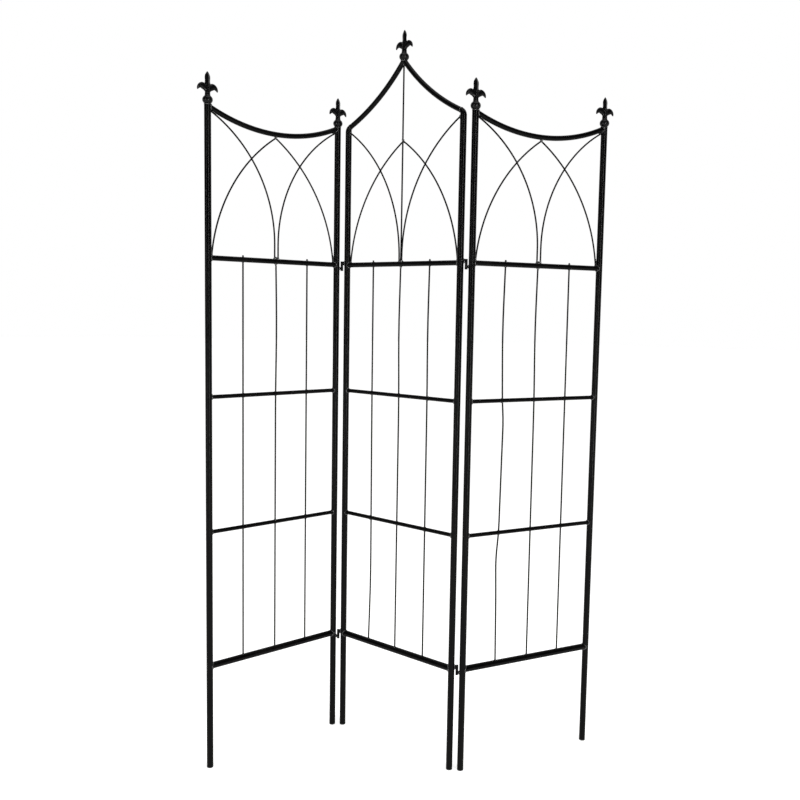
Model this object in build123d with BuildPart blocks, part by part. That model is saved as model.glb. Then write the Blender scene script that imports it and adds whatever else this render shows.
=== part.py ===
from build123d import *
from dataclasses import dataclass
from math import asin, atan2, cos, degrees, hypot, pi, radians, sin, sqrt, tan
import os

# Folding trellis: three welded steel panels, joined by two lines of pintle hinges.
# It stands zigzag on its six posts. X runs along the zigzag, Y away from the viewer and Z up.
# The origin is at the middle of the outer box, on the ground.
# In a panel, along is measured from the axis of its left post, across is its depth away from
# the viewer, and heights are above the ground.

# How the trellis stands: the turn of each panel from X, in degrees. Lengths are in millimetres.
left_panel_turn = 44.0
middle_panel_turn = -39.2
right_panel_turn = 29.5

# Posts.
post_diameter = 16.0
post_wall = 1.2
post_spacing = 375.0

# Rails, by their axes: the lowest one above the ground, and each of the others above the last.
bottom_rail_height = 257.0
lower_tier_height = 332.0
centre_tier_height = 326.0
upper_tier_height = 327.0
upper_rail_diameter = 12.5
middle_rail_diameter = 10.0
bottom_rail_diameter = 16.0
rail_wall = 1.0

# The arched tier: the side posts and the foot of the crown stand this far above the upper rail.
side_post_rise = 349.0
crown_foot_rise = 347.0

# The hanging arch of each side panel, and the crown of the middle panel with its elbows.
arch_diameter = 12.5
arch_wall = 1.0
arch_end_drop = 2.6
arch_sag = 40.4
crown_rise = 142.0
crown_radius = 514.0
crown_seat_drop = 2.0
elbow_radius = 12.0
elbow_steps = 4

# Round rods: uprights through the rails, and bent arcs above the upper rail.
rod_diameter = 4.0
hole_clearance = 0.15
weld_gap = 0.1
layer_gap = 0.3
upright_rise = 4.0
kink_below_third_rail = 65.0
kink_below_second_rail = 50.0
centre_upright_rise = 2.5
arc_share = 0.45
side_arc_offset = 5.0
side_arc_straight = 34.0
side_arc_drop = 15.0
middle_arc_gap = 0.3
middle_arc_straight = 9.0
middle_arc_drop = 4.0
post_arc_gap = 0.4
post_arc_start_drop = 35.0
post_arc_head_drop = 2.3

# Feet: a plastic plug in the lower end of each post.
foot_lip_height = 3.0
foot_lip_fillet = 2.0
foot_stem_length = 12.0
foot_stem_clearance = 0.1

# Hinges: an eye on the middle panel turns on a pin of the side panel.
pin_diameter = 4.0
pin_clearance = 0.05
pin_recess = 0.5
eye_diameter = 7.0
eye_length = 12.0
eye_rise = 9.0
eye_lug_height = 9.5
shoulder_gap = 0.3
shoulder_length = 12.2
pin_lug_height = 6.0
pin_lug_lift = 3.4
lug_thickness = 5.0
folded_clearance = 4.0
opened_clearance = 3.7

# Finials, with heights above the middle of the ball.
ball_radius = 12.0
ball_seat_depth = 10.0
seat_radius = 7.4
seat_collar_height = 1.7
ball_top_radius = 7.6
ball_top_height = 8.1
neck_radius = 6.4
neck_height = 10.7
stem_top_radius = 5.0
stem_top_height = 36.0
spigot_length = 8.0
spigot_clearance = 0.15
spear_thickness_ratio = 0.73
# The spear, as the height and half width of its sections from its foot to its tip.
spear_sections = (
    (31.0, 5.6),
    (39.7, 7.0),
    (47.0, 7.2),
    (52.8, 6.9),
    (58.0, 4.7),
    (62.0, 1.9),
    (63.2, 0.5),
)
# A petal from its root to its tip: along, height, half width and half thickness.
petal_sections = (
    (0.0, 22.0, 5.0, 4.2),
    (4.0, 23.6, 6.6, 4.1),
    (8.5, 27.2, 6.9, 4.0),
    (14.5, 30.2, 7.3, 4.0),
    (19.0, 29.0, 5.7, 3.5),
    (22.8, 25.9, 4.0, 2.6),
    (25.2, 21.8, 2.1, 1.5),
    (25.9, 19.9, 0.8, 0.7),
)

post_radius = post_diameter / 2
rod_radius = rod_diameter / 2
arch_radius = arch_diameter / 2
middle_along = post_spacing / 2
bay_width = post_spacing / 4
third_rail_height = bottom_rail_height + lower_tier_height
second_rail_height = third_rail_height + centre_tier_height
upper_rail_height = second_rail_height + upper_tier_height
side_post_top = upper_rail_height + side_post_rise
arch_middle_height = side_post_top - arch_end_drop - arch_sag
crown_foot_height = upper_rail_height + crown_foot_rise
crown_peak_height = crown_foot_height + crown_rise
layer_offset = rod_radius + layer_gap / 2
upper_rail_top = upper_rail_height + upper_rail_diameter / 2
bottom_rail_top = bottom_rail_height + bottom_rail_diameter / 2
crown_seat_height = crown_peak_height - crown_seat_drop
overall_height = crown_seat_height + ball_seat_depth + spear_sections[-1][0]
UP = Vector(0, 0, 1)

# Where the uprights aren't straight: height and offset from their place, from the bottom up.
upper_bay = (upper_rail_height + second_rail_height) / 2
centre_bay = (second_rail_height + third_rail_height) / 2
lower_bay = (third_rail_height + bottom_rail_height) / 2
upright_bends = {
    ("left", 2): ((second_rail_height, 0.2), (upper_bay, 3.0)),
    ("middle", 1): ((lower_bay, 5.0), (second_rail_height, 0.8)),
    ("middle", 2): ((second_rail_height, 0.3), (upper_bay, -4.0), (upper_rail_height, 0.0)),
    ("middle", 3): ((second_rail_height, -0.6), (upper_bay, -3.0)),
    ("right", 1): (
        (lower_bay, -2.5),
        (third_rail_height - kink_below_third_rail, -6.0),
        (third_rail_height, 0.5),
        (centre_bay, 3.0),
        (second_rail_height - kink_below_second_rail, 5.0),
        (second_rail_height, 1.0),
        (upper_bay, -4.0),
    ),
    ("right", 2): ((second_rail_height, 0.3), (upper_bay, -3.5)),
}


@dataclass
class Panel:
    """The upright plane of one panel, by its left post's foot in plan and its turn from X."""

    name: str
    turn: float
    foot: Vector = Vector(0, 0, 0)

    @property
    def along(self):
        return Vector(cos(radians(self.turn)), sin(radians(self.turn)), 0)

    @property
    def across(self):
        return Vector(-sin(radians(self.turn)), cos(radians(self.turn)), 0)

    def point(self, along, height=0.0, across=0.0):
        return self.foot + self.along * along + self.across * across + UP * height

    def level(self, height, along=0.0, across=0.0):
        """A horizontal plane with its origin at a place in the panel."""
        return Plane(self.point(along, height, across), x_dir=self.along, z_dir=UP)

    def face(self):
        """The panel's own plane: local x runs along it and local y up."""
        return Plane(self.point(0), x_dir=self.along, z_dir=self.across * -1)

    def section(self, along, height=0.0):
        """A plane square to the panel's length."""
        return Plane(self.point(along, height), x_dir=self.across, z_dir=self.along)


@dataclass
class Bend:
    """A circular arc in a panel, by its centre as along and height, and its angles in degrees."""

    centre: tuple
    radius: float
    start: float
    end: float

    def place(self, angle):
        return (
            self.centre[0] + self.radius * cos(radians(angle)),
            self.centre[1] + self.radius * sin(radians(angle)),
        )

    def mirrored(self):
        """The same arc on the other side of the panel's middle."""
        centre = (post_spacing - self.centre[0], self.centre[1])
        return Bend(centre, self.radius, 180 - self.start, 180 - self.end)

    def plane(self, panel, angle, across=0.0):
        """The plane square to the arc at an angle, facing the way the arc runs."""
        way = 1 if self.end > self.start else -1
        radial = panel.along * cos(radians(angle)) + UP * sin(radians(angle))
        travel = panel.along * (-way * sin(radians(angle))) + UP * (way * cos(radians(angle)))
        return Plane(panel.point(*self.place(angle), across), x_dir=radial, z_dir=travel)

    def axis(self, panel, across=0.0):
        way = 1 if self.end > self.start else -1
        return Axis(panel.point(*self.centre, across), panel.across * -way)


# The middle panel stands first. Each side panel hangs on a pin line beside it: the left one on
# the viewer's side and the right one behind, so that both fold flat against the middle panel.
pin_across = (post_diameter + folded_clearance) / 2
pin_beyond = (post_diameter + opened_clearance) / 2
left = Panel("left", left_panel_turn)
middle = Panel("middle", middle_panel_turn)
right = Panel("right", right_panel_turn)
left_pin = middle.point(-pin_beyond, 0, -pin_across)
right_pin = middle.point(post_spacing + pin_beyond, 0, pin_across)
left.foot = left_pin - left.point(post_spacing + pin_beyond, 0, -pin_across)
right.foot = right_pin - right.point(-pin_beyond, 0, pin_across)


def hanging_arch():
    """The side panels' arch, from one post's axis to the other."""
    radius = (middle_along**2 + arch_sag**2) / (2 * arch_sag)
    half = degrees(asin(middle_along / radius))
    return Bend((middle_along, arch_middle_height + radius), radius, 270 - half, 270 + half)


def crown_limb():
    """The left limb of the crown, from the end of the elbow to the panel's middle."""
    run = middle_along
    rise = crown_rise
    chord = hypot(run, rise)
    reach = sqrt(crown_radius**2 - chord**2 / 4)
    along = run / 2 - reach * rise / chord
    height = (crown_foot_height + crown_peak_height) / 2 + reach * run / chord
    start = -degrees(atan2(height - elbow_height(along, height), elbow_radius - along))
    end = degrees(asin((run - along) / crown_radius)) - 90
    return Bend((along, height), crown_radius, start, end)


def elbow_height(along, height):
    """Height of the elbow's centre, where the elbow touches both the post and the limb."""
    return height - sqrt((crown_radius + elbow_radius) ** 2 - (elbow_radius - along) ** 2)


def left_elbow():
    """The elbow of the middle panel's left post, from upright to the crown limb."""
    limb = crown_limb()
    centre = (elbow_radius, elbow_height(*limb.centre))
    return Bend(centre, elbow_radius, 180, 180 + limb.start)


def crown_slope():
    """Slope of the crown limb at the panel's middle, in degrees."""
    return 90 + crown_limb().end


def upright_route(panel, index, top):
    """The axis of an upright in its panel, from the bottom rail to its top."""
    place = bay_width * index
    bends = upright_bends.get((panel.name, index), ())
    foot = (place, bottom_rail_top + weld_gap)
    return [foot, *((place + offset, height) for height, offset in bends), (place, top)]


def upright_top(panel, index):
    """Where an upright ends: just above the upper rail, or under the crown in the middle."""
    if index != 2:
        return upper_rail_top + upright_rise
    if panel is not middle:
        return upper_rail_top + centre_upright_rise
    slope = radians(crown_slope())
    return crown_peak_height - arch_radius / cos(slope) - rod_radius * tan(slope) - weld_gap


def bend_radii(route):
    """The widest arc that each corner of a route has room for."""
    radii = []
    for before, corner, after in zip(route, route[1:], route[2:]):
        arrive = Vector(*corner) - Vector(*before)
        leave = Vector(*after) - Vector(*corner)
        half_turn = radians(arrive.get_angle(leave)) / 2
        radii.append(arc_share * min(arrive.length, leave.length) / tan(half_turn))
    return radii


def tangent_radius(foot, head):
    """Radius of the arc that leaves its foot upright and passes through its head."""
    run = abs(head[0] - foot[0])
    rise = head[1] - foot[1]
    return (run**2 + rise**2) / (2 * run)


def post_space(panel, along):
    """The round of a post with its weld gap, to cope what meets it."""
    with BuildPart() as space:
        with BuildSketch(panel.level(0, along)):
            Circle(post_radius + weld_gap)
        extrude(amount=overall_height)
    return space.part


def upper_rail_space(panel):
    """The round of the upper rail with its weld gap, to cope the rods that stand on it."""
    with BuildPart() as space:
        with BuildSketch(panel.section(0, upper_rail_height)):
            Circle(upper_rail_diameter / 2 + weld_gap)
        extrude(amount=post_spacing)
    return space.part


def bent_tube(panel, bend, radius, bore=0.0, across=0.0):
    """A round rod or tube along an arc of a panel."""
    with BuildPart() as tube:
        with BuildSketch(bend.plane(panel, bend.start, across)):
            Circle(radius)
            if bore > 0:
                Circle(bore, mode=Mode.SUBTRACT)
        revolve(axis=bend.axis(panel, across), revolution_arc=abs(bend.end - bend.start))
    return tube.part


def upright_rod(panel, index, radius):
    """An upright of a given radius along its route, and the length of that route."""
    route = upright_route(panel, index, upright_top(panel, index))
    with BuildPart() as rod:
        with BuildLine(panel.face()) as path:
            if len(route) > 2:
                FilletPolyline(*route, radius=bend_radii(route))
            else:
                Line(*route)
        axis = path.wires()[0]
        with BuildSketch(Plane(axis @ 0, x_dir=panel.across, z_dir=axis % 0)):
            Circle(radius)
        sweep(path=axis)
    return rod.part, axis.length


def build_post(panel, along, top):
    with BuildPart() as post:
        with BuildSketch(panel.level(foot_lip_height, along)):
            Circle(post_radius)
            Circle(post_radius - post_wall, mode=Mode.SUBTRACT)
        extrude(amount=top - foot_lip_height)
    return post.part


def build_elbow_post(panel, side):
    """A middle post: its swaged upper end turns into the crown limb."""
    elbow = left_elbow()
    along = 0.0
    if side == "right":
        elbow = elbow.mirrored()
        along = post_spacing
    straight = build_post(panel, along, elbow.centre[1])
    with BuildPart() as post:
        add(straight)
        for foot_radius, head_radius, mode in (
            (post_radius, arch_radius, Mode.ADD),
            (post_radius - post_wall, arch_radius - arch_wall, Mode.SUBTRACT),
        ):
            for step in range(elbow_steps + 1):
                angle = elbow.start + (elbow.end - elbow.start) * step / elbow_steps
                with BuildSketch(elbow.plane(panel, angle)):
                    Circle(foot_radius + (head_radius - foot_radius) * step / elbow_steps)
            loft(mode=mode)
    return post.part


def build_crown_limb(panel, side):
    """One side of the crown, cut along the panel's middle and flat under the finial."""
    limb = crown_limb()
    overrun = degrees(arch_diameter / crown_radius)
    gap_angle = degrees(weld_gap / crown_radius)
    limb = Bend(limb.centre, limb.radius, limb.start + gap_angle, limb.end + overrun)
    away = -1
    if side == "right":
        limb = limb.mirrored()
        away = 1
    tube = bent_tube(panel, limb, arch_radius, arch_radius - arch_wall)
    middle_cut = Plane(
        panel.point(middle_along + away * weld_gap / 2), x_dir=panel.across, z_dir=panel.along * away
    )
    with BuildPart() as crown:
        add(tube)
        split(bisect_by=middle_cut, keep=Keep.TOP)
        split(bisect_by=panel.level(crown_seat_height - weld_gap), keep=Keep.BOTTOM)
    return crown.part


def build_side_arch(panel):
    tube = bent_tube(panel, hanging_arch(), arch_radius, arch_radius - arch_wall)
    post_spaces = [post_space(panel, along) for along in (0.0, post_spacing)]
    with BuildPart() as arch:
        add(tube)
        add(post_spaces, mode=Mode.SUBTRACT)
    return arch.part


def build_rail(panel, height, diameter, drilled):
    """A rail coped to both posts, with a hole for each upright where it is drilled."""
    spaces = [post_space(panel, along) for along in (0.0, post_spacing)]
    if drilled:
        for index in (1, 2, 3):
            spaces.append(upright_rod(panel, index, rod_radius + hole_clearance)[0])
    with BuildPart() as rail:
        with BuildSketch(panel.section(0, height)):
            Circle(diameter / 2)
            Circle(diameter / 2 - rail_wall, mode=Mode.SUBTRACT)
        extrude(amount=post_spacing)
        add(spaces, mode=Mode.SUBTRACT)
    return rail.part


def build_upright(panel, index):
    rod, length = upright_rod(panel, index, rod_radius)
    share = rod.volume / (length * pi * rod_radius**2)
    print(f"{panel.name} upright {index}: volume over section times length {share:.5f}")
    return rod


def build_centre_arc(panel, side):
    """A rod that stands near the rail's middle and leans out to the top of a post."""
    if panel is middle:
        foot = (middle_along - rod_diameter - middle_arc_gap, upper_rail_top + middle_arc_straight)
        head = (post_radius, left_elbow().centre[1] - middle_arc_drop)
    else:
        foot = (middle_along - side_arc_offset, upper_rail_top + side_arc_straight)
        head = (post_radius, side_post_top - side_arc_drop)
    radius = tangent_radius(foot, head)
    bend = Bend((foot[0] - radius, foot[1]), radius, 0, 0)
    if panel is middle:
        bend.end = degrees(atan2(head[1] - foot[1], head[0] - bend.centre[0]) + rod_diameter / radius)
    else:
        bend.end = arch_touch(bend)
    along = foot[0]
    post_along = 0.0
    if side == "right":
        bend = bend.mirrored()
        along = post_spacing - foot[0]
        post_along = post_spacing
    arc = bent_tube(panel, bend, rod_radius, 0.0, -layer_offset)
    spaces = [upper_rail_space(panel), post_space(panel, post_along)]
    with BuildPart() as rod:
        add(arc)
        with BuildSketch(panel.level(upper_rail_height, along, -layer_offset)):
            Circle(rod_radius)
        extrude(amount=foot[1] - upper_rail_height)
        add(spaces, mode=Mode.SUBTRACT)
    return rod.part


def arch_touch(bend):
    """The angle at which a rod along an arc comes to touch the underside of the hanging arch."""
    arch = hanging_arch()
    reach = sqrt((arch_radius + rod_radius) ** 2 - layer_offset**2) + weld_gap
    run = arch.centre[0] - bend.centre[0]
    rise = arch.centre[1] - bend.centre[1]
    span = hypot(run, rise)
    near = (bend.radius**2 - (arch.radius + reach) ** 2 + span**2) / (2 * span)
    aside = sqrt(bend.radius**2 - near**2)
    return degrees(atan2(rise, run) - atan2(aside, near))


def build_post_arc(panel, side):
    """A rod that stands beside a post and leans in to the panel's middle."""
    foot = (post_radius + post_arc_gap, upper_rail_height - post_arc_start_drop)
    head = (middle_along, arch_middle_height - arch_radius - post_arc_head_drop)
    radius = tangent_radius(foot, head)
    bend = Bend((foot[0] + radius, foot[1]), radius, 180, 0)
    bend.end = degrees(atan2(head[1] - foot[1], middle_along + rod_diameter - bend.centre[0]))
    middle_gap = rod_radius + weld_gap if panel is middle else weld_gap / 2
    away = -1
    if side == "right":
        bend = bend.mirrored()
        away = 1
    arc = bent_tube(panel, bend, rod_radius, 0.0, layer_offset)
    rail_space = upper_rail_space(panel)
    middle_cut = Plane(
        panel.point(middle_along + away * middle_gap), x_dir=panel.across, z_dir=panel.along * away
    )
    with BuildPart() as rod:
        add(arc)
        split(bisect_by=middle_cut, keep=Keep.TOP)
        split(bisect_by=panel.level(upper_rail_height), keep=Keep.TOP)
        add(rail_space, mode=Mode.SUBTRACT)
    return rod.part


def build_finial(plane, spigot):
    """A cast finial on its seat: ball, neck, spear and two petals, in the plane of its panel."""
    with BuildPart() as finial:
        with BuildSketch(Plane.XZ):
            with BuildLine():
                Polyline(
                    (ball_top_radius, ball_top_height),
                    (neck_radius, neck_height),
                    (stem_top_radius, stem_top_height),
                    (0, stem_top_height),
                    (0, -ball_seat_depth),
                    (seat_radius, -ball_seat_depth),
                    (seat_radius, seat_collar_height - ball_seat_depth),
                )
                ThreePointArc(
                    (seat_radius, seat_collar_height - ball_seat_depth),
                    (ball_radius, 0),
                    (ball_top_radius, ball_top_height),
                )
            make_face()
        revolve(axis=Axis.Z)
        if spigot:
            with BuildSketch(Plane.XY.offset(-ball_seat_depth)):
                Circle(post_radius - post_wall - spigot_clearance)
            extrude(amount=-spigot_length)
        for height, half_width in spear_sections:
            with BuildSketch(Plane.XY.offset(height)):
                half_thickness = half_width * spear_thickness_ratio
                Polygon((half_width, 0), (0, half_thickness), (-half_width, 0), (0, -half_thickness))
        loft()
        for way in (1, -1):
            places = [Vector(way * along, 0, height) for along, height, *_ in petal_sections]
            for index, (*_, half_width, half_thickness) in enumerate(petal_sections):
                before = places[max(index - 1, 0)]
                after = places[min(index + 1, len(places) - 1)]
                with BuildSketch(Plane(places[index], x_dir=(0, 1, 0), z_dir=after - before)):
                    Ellipse(half_thickness, half_width)
            loft()
    return plane.from_local_coords(finial.part)


def build_foot_plugs(panel):
    """The two plugs of a panel, each with a rounded lip under its post."""
    with BuildPart() as plugs:
        for along in (0.0, post_spacing):
            with BuildSketch(panel.level(0, along)):
                Circle(post_radius)
            lip = extrude(amount=foot_lip_height - weld_gap)
            fillet(lip.edges().sort_by(Axis.Z)[0], radius=foot_lip_fillet)
            with BuildSketch(panel.level(foot_lip_height - weld_gap, along)):
                Circle(post_radius - post_wall - foot_stem_clearance)
            extrude(amount=foot_stem_length)
    return plugs.part


def build_hinge_eyes(panel, along, pin):
    """The two eyes of a hinge line, with the lugs that carry them on a post."""
    space = post_space(panel, along)
    with BuildPart() as eyes:
        for rail_height in (bottom_rail_height, upper_rail_height):
            top = rail_height + eye_rise
            axis_foot = Vector(pin.X, pin.Y, top - eye_length)
            lug_middle = panel.point(along, top - eye_lug_height / 2)
            reach = Vector(pin.X, pin.Y, lug_middle.Z) - lug_middle
            with BuildSketch(Plane(lug_middle, x_dir=UP, z_dir=reach)):
                Rectangle(eye_lug_height, lug_thickness)
            extrude(amount=reach.length)
            with BuildSketch(Plane(axis_foot)):
                Circle(eye_diameter / 2)
            extrude(amount=eye_length)
            with BuildSketch(Plane(axis_foot)):
                Circle(pin_diameter / 2 + pin_clearance)
            extrude(amount=eye_length, mode=Mode.SUBTRACT)
        add(space, mode=Mode.SUBTRACT)
    return eyes.part


def build_hinge_pins(panel, along, pin):
    """The two pins of a hinge line, with the lugs that carry them on a post."""
    space = post_space(panel, along)
    with BuildPart() as pins:
        for rail_height in (bottom_rail_height, upper_rail_height):
            shoulder = rail_height + eye_rise - eye_length - shoulder_gap
            foot = shoulder - shoulder_length
            lug_middle = panel.point(along, foot + pin_lug_lift + pin_lug_height / 2)
            reach = Vector(pin.X, pin.Y, lug_middle.Z) - lug_middle
            with BuildSketch(Plane(lug_middle, x_dir=UP, z_dir=reach)):
                Rectangle(pin_lug_height, lug_thickness)
            extrude(amount=reach.length)
            with BuildSketch(Plane(Vector(pin.X, pin.Y, foot))):
                Circle(eye_diameter / 2)
            extrude(amount=shoulder_length)
            with BuildSketch(Plane(Vector(pin.X, pin.Y, shoulder))):
                Circle(pin_diameter / 2)
            extrude(amount=shoulder_gap + eye_length - pin_recess)
        add(space, mode=Mode.SUBTRACT)
    return pins.part


rails = (
    ("upper_rail", upper_rail_height, upper_rail_diameter, True),
    ("second_rail", second_rail_height, middle_rail_diameter, True),
    ("third_rail", third_rail_height, middle_rail_diameter, True),
    ("bottom_rail", bottom_rail_height, bottom_rail_diameter, False),
)

pieces = {}
for panel in (left, middle, right):
    for rail, height, diameter, drilled in rails:
        pieces[f"{panel.name}_{rail}"] = build_rail(panel, height, diameter, drilled)
    for index in (1, 2, 3):
        pieces[f"{panel.name}_upright_{index}"] = build_upright(panel, index)
    for side in ("left", "right"):
        pieces[f"{panel.name}_centre_arc_{side}"] = build_centre_arc(panel, side)
        pieces[f"{panel.name}_post_arc_{side}"] = build_post_arc(panel, side)
    pieces[f"{panel.name}_foot_plugs"] = build_foot_plugs(panel)

for panel, inner_along, pin in ((left, post_spacing, left_pin), (right, 0.0, right_pin)):
    for role, along in (("inner", inner_along), ("outer", post_spacing - inner_along)):
        pieces[f"{panel.name}_{role}_post"] = build_post(panel, along, side_post_top)
        seat = panel.level(side_post_top + ball_seat_depth + weld_gap, along)
        pieces[f"{panel.name}_{role}_finial"] = build_finial(seat, True)
    pieces[f"{panel.name}_arch"] = build_side_arch(panel)
    pieces[f"{panel.name}_hinge_pins"] = build_hinge_pins(panel, inner_along, pin)

for side, along, pin in (("left", 0.0, left_pin), ("right", post_spacing, right_pin)):
    pieces[f"middle_{side}_post"] = build_elbow_post(middle, side)
    pieces[f"middle_{side}_crown_limb"] = build_crown_limb(middle, side)
    pieces[f"middle_{side}_hinge_eyes"] = build_hinge_eyes(middle, along, pin)
crown_seat = middle.level(crown_seat_height + ball_seat_depth, middle_along)
pieces["middle_finial"] = build_finial(crown_seat, False)

# The outer box sets the origin.
boxes = [piece.bounding_box() for piece in pieces.values()]
low = Vector(min(box.min.X for box in boxes), min(box.min.Y for box in boxes), 0)
high = Vector(max(box.max.X for box in boxes), max(box.max.Y for box in boxes), 0)
origin = (low + high) / 2

os.makedirs("parts", exist_ok=True)
for name, piece in pieces.items():
    placed = piece.moved(Location(origin * -1))
    placed.label = name
    export_step(placed, f"parts/{name}.step")

for panel in (left, middle, right):
    for along in (0.0, post_spacing):
        print(panel.name, "post at", tuple(panel.point(along) - origin))
print("left hinge axis", tuple(left_pin - origin))
print("right hinge axis", tuple(right_pin - origin))
print("outer box", high - low, max(box.max.Z for box in boxes))
print(len(pieces), "pieces")
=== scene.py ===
"""Folding trellis: finishes, weld beads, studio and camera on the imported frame.

Lengths are millimetres in the dataclasses and metres in every mesh. X runs along the zigzag,
Y away from the viewer and Z up, with the ground at 0. In a panel, along is measured from the
axis of its left post, across away from the viewer, and heights from the ground.
"""

from __future__ import annotations

import logging
import math
from dataclasses import dataclass, field
from enum import Enum
from typing import Iterable, Union

import bmesh
import bpy
from mathutils import Matrix, Vector


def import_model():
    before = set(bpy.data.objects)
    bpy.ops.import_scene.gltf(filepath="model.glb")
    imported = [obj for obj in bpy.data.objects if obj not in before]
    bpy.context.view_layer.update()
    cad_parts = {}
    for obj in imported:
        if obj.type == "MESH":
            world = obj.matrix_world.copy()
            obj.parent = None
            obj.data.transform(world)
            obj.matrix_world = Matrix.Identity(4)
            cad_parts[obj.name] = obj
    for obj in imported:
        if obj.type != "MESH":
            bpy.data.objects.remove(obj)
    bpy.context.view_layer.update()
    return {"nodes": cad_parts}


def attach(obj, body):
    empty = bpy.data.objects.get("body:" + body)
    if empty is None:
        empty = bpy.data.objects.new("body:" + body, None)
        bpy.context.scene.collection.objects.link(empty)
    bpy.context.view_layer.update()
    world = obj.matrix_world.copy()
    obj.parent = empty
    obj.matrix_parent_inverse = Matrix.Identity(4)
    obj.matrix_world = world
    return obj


log = logging.getLogger("trellis")

MM = 0.001
BACKGROUND_RAYS = ("Is Camera Ray", "Is Glossy Ray", "Is Transmission Ray")


class Body(Enum):
    """The three rigid bodies of the trellis."""

    LEFT = "left_panel"
    MIDDLE = "middle_panel"
    RIGHT = "right_panel"


class Slot(Enum):
    """A material slot's name; no piece in this script is given it."""

    PAINT = "frame_paint"


# Shader maths and node making

Operand = Union["Sock", float]


class Sock:
    """A shader socket that adds Math nodes when it is used in an expression."""

    def __init__(self, shader: "Shader", socket: bpy.types.NodeSocket) -> None:
        """Wraps one output socket of a shader's tree."""
        self.shader = shader
        self.socket = socket

    def _math(self, operation: str, *values: Operand) -> "Sock":
        """Adds a Math node on the given values."""
        return self.shader.node("ShaderNodeMath", {"operation": operation}, dict(enumerate(values)))

    def __add__(self, other: Operand) -> "Sock":
        """The sum."""
        return self._math("ADD", self, other)

    def __radd__(self, other: Operand) -> "Sock":
        """The sum, with a number on the left."""
        return self._math("ADD", other, self)

    def __sub__(self, other: Operand) -> "Sock":
        """The difference."""
        return self._math("SUBTRACT", self, other)

    def __rsub__(self, other: Operand) -> "Sock":
        """The difference, with a number on the left."""
        return self._math("SUBTRACT", other, self)

    def __mul__(self, other: Operand) -> "Sock":
        """The product."""
        return self._math("MULTIPLY", self, other)

    def __rmul__(self, other: Operand) -> "Sock":
        """The product, with a number on the left."""
        return self._math("MULTIPLY", other, self)

    def ramp(self, low: float, high: float) -> "Sock":
        """A smooth step from 0 at low to 1 at high."""
        return self.shader.node(
            "ShaderNodeMapRange",
            {"interpolation_type": "SMOOTHSTEP"},
            {"Value": self, "From Min": low, "From Max": high},
        )


class Shader:
    """A material's or world's node tree, and the one method that adds nodes to it."""

    def __init__(self, tree: bpy.types.NodeTree) -> None:
        """Empties the tree.

        Args:
            tree: The node tree to fill.
        """
        self.tree = tree
        tree.nodes.clear()

    def node(
        self,
        kind: str,
        settings: dict[str, object] | None = None,
        inputs: dict[str | int, object] | None = None,
        output: str | int = 0,
    ) -> Sock:
        """Adds a node.

        Args:
            kind: The node's type.
            settings: Properties of the node, set first.
            inputs: Values or linked sockets, by input name or place.
            output: The output to return, by name or place.

        Returns:
            The chosen output socket.
        """
        made = self.tree.nodes.new(kind)
        for key, value in (settings or {}).items():
            setattr(made, key, value)
        for key, value in (inputs or {}).items():
            if isinstance(value, Sock):
                self.tree.links.new(value.socket, made.inputs[key])
            else:
                made.inputs[key].default_value = value
        return Sock(self, made.outputs[output]) if made.outputs else Sock(self, None)

    def place(self, stretch: tuple[float, float, float] = (1.0, 1.0, 1.0)) -> Sock:
        """Object coordinates, stretched by a factor for each axis."""
        coordinates = self.node("ShaderNodeTexCoord", output="Object")
        if stretch == (1.0, 1.0, 1.0):
            return coordinates
        return self.node("ShaderNodeMapping", {}, {"Vector": coordinates, "Scale": stretch})

    def noise(self, place: Sock, scale: float, detail: float = 3.0, roughness: float = 0.55) -> Sock:
        """Noise from 0 to 1 about 0.5, with its scale in cycles a metre."""
        return self.node(
            "ShaderNodeTexNoise",
            {},
            {"Vector": place, "Scale": scale, "Detail": detail, "Roughness": roughness},
            "Fac",
        )

    def specks(self, place: Sock, scale: float, size: float) -> Sock:
        """Round specks on a cell grid: 1 inside a speck, 0 outside."""
        distance = self.node("ShaderNodeTexVoronoi", {}, {"Vector": place, "Scale": scale}, "Distance")
        return 1.0 - distance.ramp(size * 0.6, size)

    def tint(
        self, share: Operand, first: tuple[float, float, float], second: tuple[float, float, float]
    ) -> Sock:
        """A colour between two, by a share from 0 to 1."""
        return self.node(
            "ShaderNodeMix",
            {"data_type": "RGBA"},
            {"Factor": share, 6: (*first, 1.0), 7: (*second, 1.0)},
            2,
        )

    def blend(self, share: Operand, first: Sock, second: tuple[float, float, float]) -> Sock:
        """A colour socket mixed towards a fixed colour."""
        return self.node(
            "ShaderNodeMix", {"data_type": "RGBA"}, {"Factor": share, 6: first, 7: (*second, 1.0)}, 2
        )

    def bump(self, height: Sock, strength: float, depth: float) -> Sock:
        """A normal from a height, with the depth of its relief in millimetres."""
        return self.node(
            "ShaderNodeBump", {}, {"Height": height, "Strength": strength, "Distance": depth * MM}
        )

    def most(self, first: Operand, second: Operand) -> Sock:
        """The larger of two values."""
        return self.node("ShaderNodeMath", {"operation": "MAXIMUM"}, {0: first, 1: second})

    def surface(self, inputs: dict[str | int, object]) -> None:
        """Ends the tree in a Principled surface with the given inputs."""
        shader = self.node("ShaderNodeBsdfPrincipled", {}, inputs)
        self.node("ShaderNodeOutputMaterial", {}, {"Surface": shader})


@dataclass(frozen=True)
class Finish:
    """A named surface finish. Each kind lays its own nodes."""

    name: str

    def lay(self, shader: Shader) -> None:
        """Fills the shader's tree."""
        raise NotImplementedError

    def material(self) -> bpy.types.Material:
        """The finish as a material, made once and then found by its name."""
        found = bpy.data.materials.get(self.name)
        if found is not None:
            return found
        made = bpy.data.materials.new(self.name)
        made.use_nodes = True
        self.lay(Shader(made.node_tree))
        return made


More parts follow.
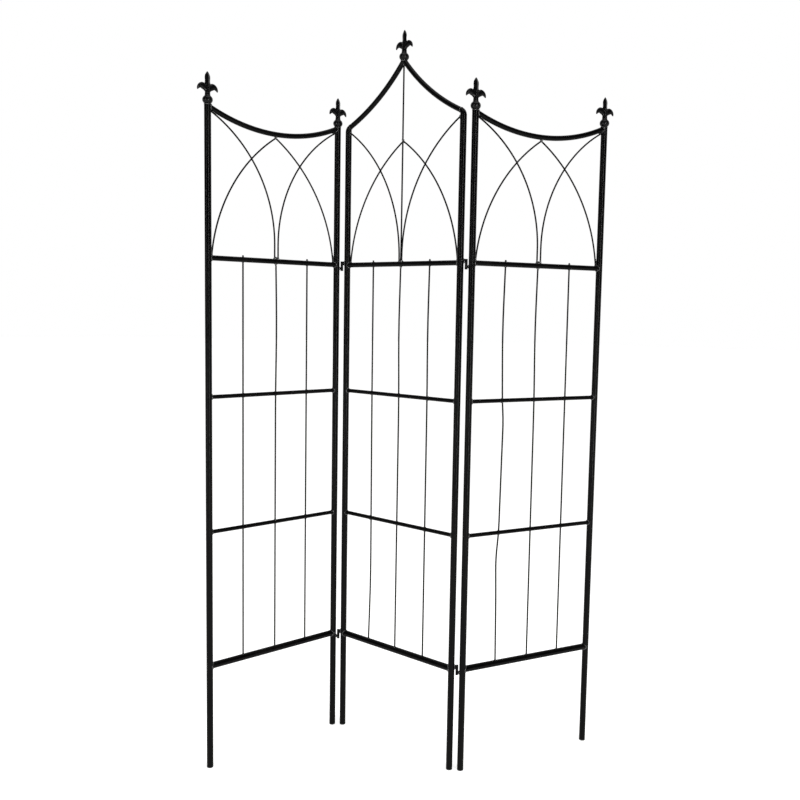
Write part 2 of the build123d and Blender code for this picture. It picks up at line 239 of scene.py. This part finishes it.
@dataclass(frozen=True)
class BlackEnamel(Finish):
    """Glossy black stove enamel over steel: orange peel, thin runs down the tube, fine dust."""

    black: tuple[float, float, float] = (0.0008, 0.0008, 0.0009)
    thin: tuple[float, float, float] = (0.0030, 0.0029, 0.0027)
    dust: tuple[float, float, float] = (0.030, 0.028, 0.025)
    peel_scale: float = 330.0
    grain_scale: float = 1485.0
    cloud_scale: float = 9.0
    run_stretch: tuple[float, float, float] = (140.0, 140.0, 5.0)
    speck_scale: float = 260.0
    speck_size: float = 0.075
    patch_scale: float = 21.0
    peel_depth: float = 0.04
    grain_depth: float = 0.012
    run_depth: float = 0.06
    sheen_low: float = 0.14
    sheen_spread: float = 0.20
    gloss: float = 0.05
    coat: float = 0.03

    def lay(self, shader: Shader) -> None:
        """Lays base colour, roughness, coat and relief."""
        place = shader.place()
        peel = shader.noise(place, self.peel_scale, 2.0)
        grain = shader.noise(place, self.grain_scale, 2.0)
        cloud = shader.noise(place, self.cloud_scale, 4.0)
        runs = shader.noise(shader.place(self.run_stretch), 1.0, 3.0)
        film = (cloud * 0.6 + runs * 0.4).ramp(0.42, 0.68)
        patches = shader.noise(place, self.patch_scale).ramp(0.55, 0.72)
        specks = shader.specks(place, self.speck_scale, self.speck_size) * patches
        colour = shader.blend(specks * 0.6, shader.tint(film, self.black, self.thin), self.dust)
        relief = peel * self.peel_depth + grain * self.grain_depth + runs * self.run_depth
        shader.surface(
            {
                "Base Color": colour,
                "Roughness": self.sheen_low + film * self.sheen_spread + specks * 0.25,
                "Specular IOR Level": self.gloss,
                "Coat Weight": self.coat - film * (self.coat * 0.5),
                "Coat Roughness": 0.08,
                "Normal": shader.bump(relief, 0.7, 1.0),
            }
        )


@dataclass(frozen=True)
class CastEnamel(Finish):
    """The same enamel over sand-cast iron: pitted, lumpy, and thicker in the hollows."""

    black: tuple[float, float, float] = (0.0014, 0.0014, 0.0016)
    worn: tuple[float, float, float] = (0.0060, 0.0056, 0.0052)
    lump_scale: float = 210.0
    sand_scale: float = 900.0
    pit_scale: float = 620.0
    pit_size: float = 0.22
    wear_scale: float = 60.0

    def lay(self, shader: Shader) -> None:
        """Lays base colour, roughness, coat and the cast skin's relief."""
        place = shader.place()
        lumps = shader.noise(place, self.lump_scale, 3.0)
        sand = shader.noise(place, self.sand_scale, 2.0, 0.7)
        pits = shader.specks(place, self.pit_scale, self.pit_size)
        pits = pits * shader.noise(place, 90.0).ramp(0.5, 0.62)
        worn = shader.noise(place, self.wear_scale, 4.0).ramp(0.55, 0.75)
        relief = lumps * 0.34 + sand * 0.07 - pits * 0.10
        shader.surface(
            {
                "Base Color": shader.tint(worn, self.black, self.worn),
                "Roughness": 0.22 + worn * 0.20 + pits * 0.2,
                "Specular IOR Level": 0.10,
                "Coat Weight": 0.06 - worn * 0.04,
                "Coat Roughness": 0.12,
                "Normal": shader.bump(relief, 0.9, 1.0),
            }
        )


@dataclass(frozen=True)
class WeldEnamel(Finish):
    """Enamel over a weld bead: glossier on the lumps, with small pits."""

    black: tuple[float, float, float] = (0.0016, 0.0016, 0.0018)
    sooty: tuple[float, float, float] = (0.0060, 0.0054, 0.0050)
    lump_scale: float = 520.0
    soot_scale: float = 75.0
    pit_scale: float = 800.0
    pit_size: float = 0.16

    def lay(self, shader: Shader) -> None:
        """Lays base colour, roughness, coat and relief."""
        place = shader.place()
        lumps = shader.noise(place, self.lump_scale, 3.0)
        soot = shader.noise(place, self.soot_scale, 3.0).ramp(0.5, 0.72)
        pits = shader.specks(place, self.pit_scale, self.pit_size)
        pits = pits * shader.noise(place, 160.0).ramp(0.52, 0.6)
        shader.surface(
            {
                "Base Color": shader.tint(soot, self.black, self.sooty),
                "Roughness": 0.14 + soot * 0.16 + pits * 0.25,
                "Specular IOR Level": 0.5,
                "Coat Weight": 0.5 - soot * 0.3,
                "Coat Roughness": 0.08,
                "Normal": shader.bump(lumps * 0.30 - pits * 0.12, 0.9, 1.0),
            }
        )


@dataclass(frozen=True)
class PlugPlastic(Finish):
    """Matt black moulded plastic: fine spark grain, scuffed where it stands on the ground."""

    black: tuple[float, float, float] = (0.004, 0.004, 0.0045)
    scuffed: tuple[float, float, float] = (0.030, 0.029, 0.027)
    scuff_height: float = 1.6
    grain_scale: float = 2600.0
    patch_scale: float = 420.0

    def lay(self, shader: Shader) -> None:
        """Lays base colour, roughness and the moulded grain."""
        place = shader.place()
        height = shader.node("ShaderNodeSeparateXYZ", {}, {"Vector": place}, "Z")
        grain = shader.noise(place, self.grain_scale, 2.0)
        patches = shader.noise(place, self.patch_scale, 4.0).ramp(0.44, 0.66)
        low = 1.0 - height.ramp(0.2 * MM, self.scuff_height * MM)
        shader.surface(
            {
                "Base Color": shader.tint(low * patches, self.black, self.scuffed),
                "Roughness": 0.52 + grain * 0.14 + low * 0.12,
                "Specular IOR Level": 0.2,
                "Normal": shader.bump(grain * 0.10 + low * patches * 0.12, 0.8, 1.0),
            }
        )


@dataclass(frozen=True)
class PaleFloor(Finish):
    """A plain pale floor that keeps the soft shadows and runs into the white background."""

    pale: tuple[float, float, float] = (0.93, 0.93, 0.92)
    grey: tuple[float, float, float] = (0.91, 0.91, 0.905)
    grain_scale: float = 60.0
    lift: float = 0.40

    def lay(self, shader: Shader) -> None:
        """Adds a little light of its own where the camera or a reflection sees it."""
        place = shader.place()
        grain = shader.noise(place, self.grain_scale, 4.0)
        body = shader.node(
            "ShaderNodeBsdfPrincipled",
            {},
            {
                "Base Color": shader.tint(grain, self.pale, self.grey),
                "Roughness": 0.62 + grain * 0.1,
                "Specular IOR Level": 0.15,
                "Normal": shader.bump(grain, 0.15, 0.3),
            },
        )
        rays = [shader.node("ShaderNodeLightPath", output=name) for name in BACKGROUND_RAYS]
        seen = shader.most(shader.most(rays[0], rays[1]), rays[2])
        glow = shader.node(
            "ShaderNodeEmission", {}, {"Color": (1, 1, 1, 1), "Strength": seen * self.lift}
        )
        both = shader.node("ShaderNodeAddShader", {}, {0: body, 1: glow})
        shader.node("ShaderNodeOutputMaterial", {}, {"Surface": both})


# The trellis


@dataclass(frozen=True)
class Panel:
    """One panel's upright plane: its left post's foot, its turn from X and its body."""

    body: Body
    foot: tuple[float, float]
    turn: float
    width: float = 375.0

    @property
    def name(self) -> str:
        """The panel's part of its nodes' names."""
        return self.body.value.removesuffix("_panel")

    @property
    def along(self) -> Vector:
        """The direction along the panel."""
        return Vector((math.cos(math.radians(self.turn)), math.sin(math.radians(self.turn)), 0.0))

    @property
    def across(self) -> Vector:
        """The direction away from the viewer, square to the panel."""
        return Vector((-math.sin(math.radians(self.turn)), math.cos(math.radians(self.turn)), 0.0))

    def point(self, along: float, height: float, across: float = 0.0) -> Vector:
        """A place in the panel, in metres."""
        foot = Vector((*self.foot, height))
        return (foot + self.along * along + self.across * across) * MM


PANELS = (
    Panel(Body.LEFT, (-473.026, -130.248), 44.0),
    Panel(Body.MIDDLE, (-175.288, 131.421), -39.2),
    Panel(Body.RIGHT, (142.767, -107.919), 29.5),
)
LEFT_PIN = (-189.241, 129.897)
RIGHT_PIN = (129.270, -104.066)


@dataclass(frozen=True)
class Rail:
    """A rail by its height and diameter, and whether the uprights pass through it."""

    name: str
    height: float
    diameter: float
    drilled: bool


RAILS = (
    Rail("upper_rail", 1242.0, 12.5, True),
    Rail("second_rail", 915.0, 10.0, True),
    Rail("third_rail", 589.0, 10.0, True),
    Rail("bottom_rail", 257.0, 16.0, False),
)
ARCH_END = Rail("arch", 1585.0, 12.5, False)
ARCH_UNDERSIDE = 1541.9
POST_TOP = 1591.1
ELBOW = (6.97, 1592.1)
ELBOW_SLOPE = (0.908, 0.419)
ARCS_MEET = (1536.5, 1541.5)
CROWN_PEAK = (1721.5, 1729.3)
EYE_SPAN = (-0.5, 9.0)
PIN_LUG_SPAN = (-12.1, -6.1)


@dataclass
class Seam:
    """The middle line of one weld bead, with the bead's radius at each point."""

    points: list[Vector]
    radii: list[float]
    closed: bool = False


@dataclass
class Welds:
    """Every weld bead of one panel, as lines that one Geometry Nodes tree makes into beads."""

    panel: Panel
    post_radius: float = 8.0
    rod_radius: float = 2.0
    layer: float = 2.15
    bead: float = 1.6
    end_steps: int = 36
    hole_steps: int = 20
    ring_steps: int = 32
    lug_half: float = 3.0
    post_run: tuple[tuple[float, float], ...] = ((1.6, 3.0), (1.5, 8.0), (1.1, 13.0), (0.5, 18.0))
    cone: tuple[tuple[float, float], ...] = (
        (-1.6, 1.0),
        (0.0, 0.88),
        (0.28, 0.50),
        (0.6, 0.22),
        (0.9, 0.05),
        (1.08, -0.10),
    )
    seams: list[Seam] = field(default_factory=list)

    def rail_ends(self, rail: Rail) -> None:
        """A bead round each end of a rail, where it is coped to its post.

        Args:
            rail: The rail, or a tube that meets the posts as a rail does.
        """
        ring = min(rail.diameter / 2 + self.bead * 0.35, self.post_radius - 0.2)
        for post, way in ((0.0, 1.0), (self.panel.width, -1.0)):
            points = []
            for step in range(self.end_steps):
                angle = math.tau * step / self.end_steps
                aside = ring * math.cos(angle)
                reach = math.sqrt(max(self.post_radius**2 - aside**2, 1.0))
                rise = ring * math.sin(angle)
                points.append(self.panel.point(post + way * (reach + 0.5), rail.height + rise, aside))
            self.seams.append(Seam(points, [self.bead] * len(points), True))

    def collar(
        self,
        along: float,
        height: float,
        way: float,
        spread: float = 3.4,
        reach: float = 3.6,
        across: float = 0.0,
    ) -> None:
        """A cone of weld round a rod where it meets a rail.

        Args:
            along: The rod's place along the panel.
            height: The rail's surface on the side the cone stands on.
            way: 1 for a cone above the rail, -1 for one below it.
            spread: The cone's radius at the rail.
            reach: How far the cone runs along the rod.
            across: The rod's place across the panel.
        """
        points = []
        radii = []
        for run, share in self.cone:
            rise = run * reach if run > 0 else run
            points.append(self.panel.point(along, height + way * rise, across))
            radii.append(self.rod_radius + (spread - self.rod_radius) * share)
        self.seams.append(Seam(points, radii))

    def saddle(
        self, along: float, height: float, radius: float, around: float, way: float, across: float = 0.0
    ) -> None:
        """A thin bead round an upright rod where it goes through a level rail.

        Args:
            along: The rod's place along the panel.
            height: The rail's axis.
            radius: The rail's radius.
            around: The bead's radius.
            way: 1 for the rail's top, -1 for its underside.
            across: The rod's place across the panel.
        """
        points = []
        for step in range(self.hole_steps):
            angle = math.tau * step / self.hole_steps
            aside = across + (self.rod_radius + around * 0.3) * math.sin(angle)
            ahead = along + (self.rod_radius + around * 0.3) * math.cos(angle)
            rise = math.sqrt(max(radius**2 - aside**2, 0.25)) + around * 0.15
            points.append(self.panel.point(ahead, height + way * rise, aside))
        self.seams.append(Seam(points, [around] * len(points), True))

    def stroke(self, places: Iterable[tuple[float, float, float]], bead: float) -> None:
        """A short bead, thinner at its two ends.

        Args:
            places: Its line, as along, height and across in the panel.
            bead: Its radius at the middle.
        """
        points = [self.panel.point(*place) for place in places]
        count = len(points) - 1
        radii = [bead * (0.3 + 0.7 * math.sin(math.pi * step / count)) for step in range(count + 1)]
        self.seams.append(Seam(points, radii))

    def ring(self, centre: Vector, normal: Vector, radius: float, bead: float) -> None:
        """A round bead about a tube.

        Args:
            centre: Its centre, in metres.
            normal: The direction of the tube.
            radius: The ring's radius, in millimetres.
            bead: The bead's radius, in millimetres.
        """
        side = normal.orthogonal().normalized()
        other = normal.cross(side).normalized()
        points = []
        for step in range(self.ring_steps):
            angle = math.tau * step / self.ring_steps
            points.append(centre + (side * math.cos(angle) + other * math.sin(angle)) * radius * MM)
        self.seams.append(Seam(points, [bead] * len(points), True))

    def lug(self, along: float, pin: tuple[float, float], low: float, high: float) -> None:
        """A bead on a post round the root of a hinge lug.

        Args:
            along: The post's place along the panel.
            pin: The hinge line in plan.
            low: The lug's underside.
            high: The lug's top.
        """
        post = self.panel.point(along, 0.0)
        towards = (Vector((pin[0] * MM, pin[1] * MM, 0.0)) - post).normalized()
        aside = towards.cross(Vector((0.0, 0.0, 1.0)))
        half = self.lug_half
        reach = math.sqrt(self.post_radius**2 - half**2) + 0.4
        right = ((half, low), (half, high), (0.0, high + 0.5))
        corners = (*right, (-half, high), (-half, low), (0.0, low - 0.5))
        points = []
        for (side, height), (next_side, next_height) in zip(corners, corners[1:] + corners[:1]):
            for share in (0.0, 0.5):
                place = side + (next_side - side) * share
                level = height + (next_height - height) * share
                offset = towards * reach + aside * place + Vector((0.0, 0.0, level))
                points.append(post + offset * MM)
        self.seams.append(Seam(points, [self.bead * 0.8] * len(points), True))

    def rod_meetings(self, foot: float) -> None:
        """The cones where the rods of the arched tier land on the upper rail.

        Args:
            foot: How far each centre arc stands from the panel's middle.
        """
        middle = self.panel.width / 2
        top = RAILS[0].height + RAILS[0].diameter / 2
        underside = RAILS[0].height - RAILS[0].diameter / 2
        self.stroke([(middle + run, top + 0.4, -0.8) for run in (-8.0, -4.0, 0.0, 4.0, 8.0)], 3.6)
        self.stroke([(middle + run, underside - 0.1, 0.0) for run in (-4.6, -2.3, 0.0, 2.3, 4.6)], 2.3)
        self.collar(middle, underside, -1.0, 3.7, 5.0)
        self.collar(middle, top, 1.0, 4.0, 4.6)
        for way in (-1.0, 1.0):
            self.collar(middle + way * foot, top, 1.0, 3.6, 7.0, -self.layer)
            post_side = middle + way * (middle - 10.6)
            self.collar(post_side, top, 1.0, 3.6, 3.8, self.layer)
            places = [(post_side + way * lean, top + rise, self.layer) for lean, rise in self.post_run]
            self.stroke(places, 1.2)

    def side_heads(self) -> None:
        """The welds at the head of a side panel: arch ends, rods under the arch, finial seats."""
        self.rail_ends(ARCH_END)
        self.collar(self.panel.width / 2, ARCH_UNDERSIDE, -1.0, 4.8, 4.6, 1.3)
        for post, way in ((0.0, 1.0), (self.panel.width, -1.0)):
            places = ((10.0, 1576.5), (13.0, 1575.6), (16.0, 1574.6), (19.5, 1573.6))
            self.stroke([(post + way * along, height, -self.layer) for along, height in places], 1.9)
            self.ring(self.panel.point(post, POST_TOP), Vector((0.0, 0.0, 1.0)), 7.7, 1.0)

    def crown(self) -> None:
        """The welds of the crown: elbows, rods on the posts and the king rod, finial seat."""
        middle = self.panel.width / 2
        for post, way in ((0.0, 1.0), (self.panel.width, -1.0)):
            slope = self.panel.along * (way * ELBOW_SLOPE[0]) + Vector((0.0, 0.0, ELBOW_SLOPE[1]))
            self.ring(self.panel.point(post + way * ELBOW[0], ELBOW[1]), slope, 6.3, 0.7)
            places = ((8.6, 1571.5), (9.2, 1575.0), (9.4, 1578.0), (9.4, 1581.0))
            self.stroke([(post + way * along, height, -self.layer) for along, height in places], 1.6)
        self.collar(middle, ARCS_MEET[1], -1.0, 3.6, 4.0, 1.0)
        self.collar(middle, ARCS_MEET[0], 1.0, 3.6, 4.0, 1.0)
        self.collar(middle, CROWN_PEAK[0], -1.0, 3.8, 4.6)
        self.ring(self.panel.point(middle, CROWN_PEAK[1]), Vector((0.0, 0.0, 1.0)), 7.6, 1.3)

    def build(self) -> None:
        """Lays every weld of the panel."""
        for rail in RAILS:
            self.rail_ends(rail)
            for index in (1, 2, 3):
                along = self.panel.width * index / 4
                self.saddle(along, rail.height, rail.diameter / 2, 0.9, 1.0)
                if rail.drilled:
                    self.saddle(along, rail.height, rail.diameter / 2, 0.9, -1.0)
        if self.panel.body is Body.MIDDLE:
            self.rod_meetings(3.8)
            self.crown()
        else:
            self.rod_meetings(5.0)
            self.side_heads()
        for rail in (RAILS[0], RAILS[-1]):
            for body, along, pin, span in (
                (Body.MIDDLE, 0.0, LEFT_PIN, EYE_SPAN),
                (Body.MIDDLE, self.panel.width, RIGHT_PIN, EYE_SPAN),
                (Body.LEFT, self.panel.width, LEFT_PIN, PIN_LUG_SPAN),
                (Body.RIGHT, 0.0, RIGHT_PIN, PIN_LUG_SPAN),
            ):
                if body is self.panel.body:
                    self.lug(along, pin, rail.height + span[0], rail.height + span[1])


@dataclass
class WeldBeads:
    """The Geometry Nodes tree that sweeps a rippled, lumpy bead along each seam."""

    step: float = 0.7
    ripple_pitch: float = 2.4
    ripple: float = 0.13
    lump: float = 0.35
    lump_scale: float = 260.0
    seed: float = 7.0
    sides: int = 10

    def tree(self) -> bpy.types.NodeTree:
        """Makes the tree with its named inputs.

        Returns:
            The node group.
        """
        group = bpy.data.node_groups.new("weld_bead", "GeometryNodeTree")
        face = group.interface
        face.new_socket("Geometry", in_out="INPUT", socket_type="NodeSocketGeometry")
        for name in ("Step", "Ripple pitch", "Ripple", "Lump", "Lump scale", "Seed"):
            face.new_socket(name, in_out="INPUT", socket_type="NodeSocketFloat")
        face.new_socket("Sides", in_out="INPUT", socket_type="NodeSocketInt")
        face.new_socket("Finish", in_out="INPUT", socket_type="NodeSocketMaterial")
        face.new_socket("Geometry", in_out="OUTPUT", socket_type="NodeSocketGeometry")
        nodes = Shader(group)
        given = nodes.node("NodeGroupInput")

        def value(name: str) -> Sock:
            """One of the tree's inputs."""
            return Sock(nodes, given.socket.node.outputs[name])

        radius = nodes.node(
            "GeometryNodeInputNamedAttribute", {"data_type": "FLOAT"}, {"Name": "bead"}, "Attribute"
        )
        lines = nodes.node("GeometryNodeMeshToCurve", {}, {"Mesh": value("Geometry")})
        lines = nodes.node("GeometryNodeSetCurveRadius", {}, {"Curve": lines, "Radius": radius})
        lines = nodes.node(
            "GeometryNodeResampleCurve", {"mode": "LENGTH"}, {"Curve": lines, "Length": value("Step")}
        )
        run = nodes.node("GeometryNodeSplineParameter", output="Length")
        turns = nodes.node(
            "ShaderNodeMath", {"operation": "DIVIDE"}, {0: run, 1: value("Ripple pitch")}
        )
        wave = nodes.node("ShaderNodeMath", {"operation": "SINE"}, {0: turns * math.tau})
        bead = nodes.node("GeometryNodeInputRadius") * (1.0 + wave * value("Ripple"))
        profile = nodes.node(
            "GeometryNodeCurvePrimitiveCircle",
            {"mode": "RADIUS"},
            {"Resolution": value("Sides"), "Radius": 1.0},
        )
        body = nodes.node(
            "GeometryNodeCurveToMesh",
            {},
            {"Curve": lines, "Profile Curve": profile, "Scale": bead, "Fill Caps": True},
        )
        lumps = nodes.node(
            "ShaderNodeTexNoise",
            {"noise_dimensions": "4D"},
            {"W": value("Seed"), "Scale": value("Lump scale"), "Detail": 2.0},
            0,
        )
        out = nodes.node(
            "ShaderNodeVectorMath",
            {"operation": "SCALE"},
            {0: nodes.node("GeometryNodeInputNormal"), "Scale": (lumps - 0.5) * value("Lump")},
        )
        body = nodes.node("GeometryNodeSetPosition", {}, {"Geometry": body, "Offset": out})
        body = nodes.node("GeometryNodeRealizeInstances", {}, {"Geometry": body})
        body = nodes.node("GeometryNodeSetShadeSmooth", {}, {"Geometry": body})
        body = nodes.node(
            "GeometryNodeSetMaterial", {}, {"Geometry": body, "Material": value("Finish")}
        )
        nodes.node("NodeGroupOutput", {}, {"Geometry": body})
        return group

    def sweep(
        self, name: str, seams: list[Seam], finish: Finish, group: bpy.types.NodeTree
    ) -> bpy.types.Object:
        """Makes the beads of some seams.

        Args:
            name: The finished piece's name.
            seams: The middle lines of the beads.
            finish: The beads' finish.
            group: The weld bead tree.

        Returns:
            One plain mesh object with every bead.
        """
        points: list[Vector] = []
        edges: list[tuple[int, int]] = []
        radii: list[float] = []
        for seam in seams:
            first = len(points)
            count = len(seam.points)
            points.extend(seam.points)
            radii.extend(radius * MM for radius in seam.radii)
            edges.extend((first + place, first + place + 1) for place in range(count - 1))
            if seam.closed:
                edges.append((first + count - 1, first))
        lines = bpy.data.meshes.new(name + "_lines")
        lines.from_pydata(points, edges, [])
        lines.attributes.new("bead", "FLOAT", "POINT").data.foreach_set("value", radii)
        carrier = bpy.data.objects.new(name + "_lines", lines)
        bpy.context.scene.collection.objects.link(carrier)
        modifier = carrier.modifiers.new("beads", "NODES")
        modifier.node_group = group
        values = {
            "Step": self.step * MM,
            "Ripple pitch": self.ripple_pitch * MM,
            "Ripple": self.ripple,
            "Lump": self.lump * MM,
            "Lump scale": self.lump_scale,
            "Seed": self.seed,
            "Sides": self.sides,
            "Finish": finish.material(),
        }
        for item in group.interface.items_tree:
            if item.in_out == "INPUT" and item.name in values:
                modifier[item.identifier] = values[item.name]
        seen = bpy.context.evaluated_depsgraph_get()
        mesh = bpy.data.meshes.new_from_object(carrier.evaluated_get(seen), depsgraph=seen)
        bpy.data.objects.remove(carrier)
        bpy.data.meshes.remove(lines)
        mesh.name = name
        piece = bpy.data.objects.new(name, mesh)
        bpy.context.scene.collection.objects.link(piece)
        return piece


@dataclass
class Dress:
    """Gives every CAD node its finish."""

    nodes: dict[str, bpy.types.Object]
    enamel: Finish = BlackEnamel("black_enamel")
    cast: Finish = CastEnamel("cast_enamel")
    plastic: Finish = PlugPlastic("plug_plastic")

    def finish_of(self, name: str) -> Finish:
        """The finish of a node, by its name."""
        if name.endswith("foot_plugs"):
            return self.plastic
        if name.endswith("finial"):
            return self.cast
        return self.enamel

    def build(self) -> None:
        """Sets the material slots of every node."""
        for name, piece in self.nodes.items():
            material = self.finish_of(name).material()
            for slot in piece.material_slots:
                slot.material = material
            log.info("dressed %s with %s", name, material.name)


@dataclass
class Studio:
    """The pale floor, the soft lamps, the white surroundings and the camera."""

    floor_radius: float = 30.0
    soft_light: float = 0.72
    room: float = 0.05
    camera_place: tuple[float, float, float] = (86.39, -2334.68, 1133.68)
    yaw: float = -1.223
    pitch: float = 5.671
    roll: float = 1.081
    focal_pixels: float = 940.53
    middle_pixels: tuple[float, float] = (425.04, 401.82)
    frame_pixels: float = 800.0
    sensor: float = 36.0
    aim: tuple[float, float, float] = (0.0, 0.0, 0.95)
    strip: tuple[float, float] = (0.16, 2.4)
    overhead: tuple[float, float] = (2.4, 1.8)

    def floor(self) -> None:
        """A round floor on the ground."""
        mesh = bpy.data.meshes.new("floor")
        shape = bmesh.new()
        bmesh.ops.create_circle(shape, cap_ends=True, segments=96, radius=self.floor_radius)
        shape.to_mesh(mesh)
        shape.free()
        mesh.materials.append(PaleFloor("pale_floor").material())
        piece = bpy.data.objects.new("floor", mesh)
        bpy.context.scene.collection.objects.link(piece)

    def lamp(
        self, name: str, place: Vector, aim: Vector, size: tuple[float, float], power: float
    ) -> None:
        """A rectangular soft box.

        Args:
            name: The lamp's name.
            place: Where it stands, in metres.
            aim: The point it faces.
            size: Its width and height.
            power: Its power in watts.
        """
        data = bpy.data.lights.new(name, "AREA")
        data.shape = "RECTANGLE"
        data.size, data.size_y = size
        data.energy = power
        lamp = bpy.data.objects.new(name, data)
        lamp.location = place
        lamp.rotation_euler = (aim - place).to_track_quat("-Z", "Y").to_euler()
        bpy.context.scene.collection.objects.link(lamp)

    def surroundings(self) -> None:
        """White to the camera, dim in front to a reflection, and a soft light elsewhere."""
        world = bpy.data.worlds.new("surroundings")
        world.use_nodes = True
        shader = Shader(world.node_tree)
        rays = [shader.node("ShaderNodeLightPath", output=name) for name in BACKGROUND_RAYS]
        direction = shader.node("ShaderNodeTexCoord", output="Generated")
        behind = shader.node("ShaderNodeSeparateXYZ", {}, {"Vector": direction}, "Y").ramp(-0.1, 0.5)
        mirrored = rays[1] * (self.room + (1.0 - self.room) * behind)
        seen = shader.most(rays[0], rays[2])
        other = 1.0 - shader.most(seen, rays[1])
        strength = shader.most(seen, mirrored + other * self.soft_light)
        back = shader.node("ShaderNodeBackground", {}, {"Color": (1, 1, 1, 1), "Strength": strength})
        shader.node("ShaderNodeOutputWorld", {}, {"Surface": back})
        bpy.context.scene.world = world

    def camera(self) -> None:
        """The camera at the photograph's place, with the photograph's framing."""
        data = bpy.data.cameras.new("camera")
        data.sensor_width = self.sensor
        data.lens = self.focal_pixels * self.sensor / self.frame_pixels
        data.shift_x = (self.frame_pixels / 2 - self.middle_pixels[0]) / self.frame_pixels
        data.shift_y = (self.middle_pixels[1] - self.frame_pixels / 2) / self.frame_pixels
        data.clip_start = 0.05
        data.clip_end = 200.0
        camera = bpy.data.objects.new("camera", data)
        turn = (
            Matrix.Rotation(math.radians(-self.yaw), 4, "Z")
            @ Matrix.Rotation(math.radians(90.0 - self.pitch), 4, "X")
            @ Matrix.Rotation(math.radians(self.roll), 4, "Z")
        )
        camera.matrix_world = Matrix.Translation(Vector(self.camera_place) * MM) @ turn
        bpy.context.scene.collection.objects.link(camera)
        bpy.context.scene.camera = camera

    def build(self) -> None:
        """Sets the whole studio."""
        self.floor()
        self.surroundings()
        aim = Vector(self.aim)
        self.lamp("left_strip", Vector((-1.9, -2.6, 1.3)), aim, self.strip, 26.0)
        self.lamp("right_strip", Vector((1.5, -2.6, 1.3)), aim, self.strip, 60.0)
        self.lamp("overhead", Vector((0.1, -0.6, 3.6)), aim, self.overhead, 30.0)
        self.camera()
        scene = bpy.context.scene
        scene.view_settings.view_transform = "Standard"
        log.info("studio ready")


def main() -> None:
    """Builds the trellis's dress, its studio and its camera."""
    logging.basicConfig(level=logging.INFO, format="%(message)s")
    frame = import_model()
    Dress(frame["nodes"]).build()
    beads = WeldBeads()
    group = beads.tree()
    for panel in PANELS:
        welds = Welds(panel)
        welds.build()
        piece = beads.sweep(f"{panel.name}_weld_beads", welds.seams, WeldEnamel("weld_enamel"), group)
        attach(piece, panel.body.value)
        log.info("%s: %d seams, %d faces", piece.name, len(welds.seams), len(piece.data.polygons))
    Studio().build()


if __name__ == "__main__":
    main()
